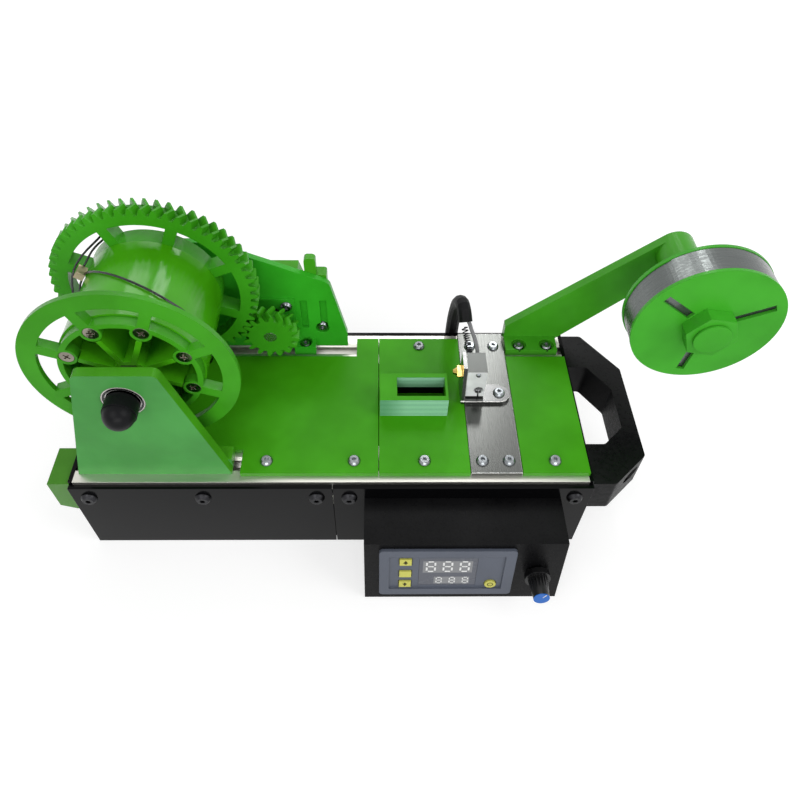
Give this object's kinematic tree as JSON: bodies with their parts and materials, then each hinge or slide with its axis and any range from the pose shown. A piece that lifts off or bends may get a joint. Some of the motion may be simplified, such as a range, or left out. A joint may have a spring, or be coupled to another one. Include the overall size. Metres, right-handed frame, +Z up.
{
  "type": "filament extruder",
  "caption": "Bench filament extruder: slotted-profile frame, heated nozzle, geared take-up spool, strip reel on an arm, and a control box with display and speed knob.",
  "frame": {"origin": "centre of the base plate's underside, on the bench, midway along and across the frame", "axes": "+X along the frame towards the handle and the strip reel; +Y to the back, away from the control box; +Z up"},
  "size_m": [0.4118, 0.1885, 0.1939],
  "materials": {
    "printed_green": "layer-printed bright green",
    "aluminium": "extruded, clear anodised",
    "brushed_steel": "brushed stainless sheet",
    "black_panel": "smooth black sheet",
    "black_print": "layer-printed black",
    "black_rubber": "smooth black rubber",
    "black_screw": "black oxide steel",
    "zinc": "bright zinc plate",
    "bearing_steel": "ground bright steel",
    "wire_steel": "drawn steel wire",
    "brass": "turned brass",
    "motor_metal": "zinc die casting",
    "heater_aluminium": "milled aluminium",
    "grey_lead": "grey insulated lead",
    "clear_strip": "wound clear plastic strip",
    "grey_case": "moulded dark grey",
    "display_window": "smoked window with pale digits",
    "yellow_key": "moulded yellow",
    "blue_knob": "black skirt with blue cap"
  },
  "bodies": {
    "frame": {"profile_front": "aluminium", "profile_rear": "aluminium", "panel_front_left": "black_panel", "panel_front_right": "black_panel", "panel_rear": "black_panel", "end_panel_left": "black_panel", "end_panel_right": "black_panel", "base_plate": "black_panel", "base_posts": "zinc", "end_block_front": "printed_green", "end_block_rear": "printed_green", "handle": "black_print", "plate_left": "printed_green", "plate_middle": "printed_green", "plate_steel": "brushed_steel", "plate_right": "printed_green", "cutter_block": "printed_green", "deck_screws": "zinc", "panel_screws": "black_screw", "slot_nuts": "zinc", "support_front": "printed_green", "bracket_rear": "printed_green", "bearings": "bearing_steel", "dc_inlet": "black_print", "motor": "motor_metal", "motor_cover": "printed_green", "guide_tabs": "printed_green", "hot_angle": "brushed_steel", "hot_screws": "zinc", "heater_block": "heater_aluminium", "nozzle": "brass", "sensor_spring": "wire_steel", "heater_lead": "grey_lead", "lead_sleeve": "black_rubber", "sleeve_grommet": "black_rubber", "reel_arm": "printed_green", "reel_axle": "printed_green", "control_box": "black_print", "controller": "grey_case", "display": "display_window"},
    "spool": {"axle": "bearing_steel", "axle_cap": "black_rubber", "axle_nuts": "zinc", "spool_flange": "printed_green", "spool_drum": "printed_green", "spool_gear": "printed_green", "spool_screws": "zinc", "wire_loop": "wire_steel", "wire_clamp": "brass"},
    "drive": {"pinion": "printed_green", "motor_shaft": "bearing_steel"},
    "reel": {"reel_disc_front": "printed_green", "reel_disc_rear": "printed_green", "strip_roll": "clear_strip", "reel_nut": "printed_green"},
    "key_up": {"keys_panel_up": "yellow_key"},
    "key_set": {"keys_panel_set": "yellow_key"},
    "key_down": {"keys_panel_down": "yellow_key"},
    "key_power": {"key_round": "yellow_key"},
    "speed_knob": {"knob": "blue_knob"}
  },
  "joints": [
    {"name": "spool_spin", "type": "hinge", "parent": "frame", "child": "spool", "pos_m": [-0.103, 0, 0.135], "axis": [0, 1, 0], "continuous": true},
    {"name": "pinion_spin", "type": "hinge", "parent": "frame", "child": "drive", "pos_m": [-0.04096, 0.033, 0.09653], "axis": [0, 1, 0], "continuous": true},
    {"name": "reel_spin", "type": "hinge", "parent": "frame", "child": "reel", "pos_m": [0.206, 0.00225, 0.144], "axis": [0, 1, 0], "continuous": true},
    {"name": "speed_turn", "type": "hinge", "parent": "frame", "child": "speed_knob", "pos_m": [0.12, -0.09651, 0.02602], "axis": [0, -0.9868, 0.1617], "range_deg": [-140, 140]},
    {"name": "key_up_press", "type": "slide", "parent": "frame", "child": "key_up", "axis": [0, -0.9868, 0.1617], "range_m": [-0.0006, 0], "stiffness_N_per_m": 400},
    {"name": "key_set_press", "type": "slide", "parent": "frame", "child": "key_set", "axis": [0, -0.9868, 0.1617], "range_m": [-0.0006, 0], "stiffness_N_per_m": 400},
    {"name": "key_down_press", "type": "slide", "parent": "frame", "child": "key_down", "axis": [0, -0.9868, 0.1617], "range_m": [-0.0006, 0], "stiffness_N_per_m": 400},
    {"name": "key_power_press", "type": "slide", "parent": "frame", "child": "key_power", "axis": [0, -0.9868, 0.1617], "range_m": [-0.0006, 0], "stiffness_N_per_m": 400}
  ],
  "couplings": [
    {"joint": "pinion_spin", "follows": "spool_spin", "ratio": -3.5625}
  ]
}
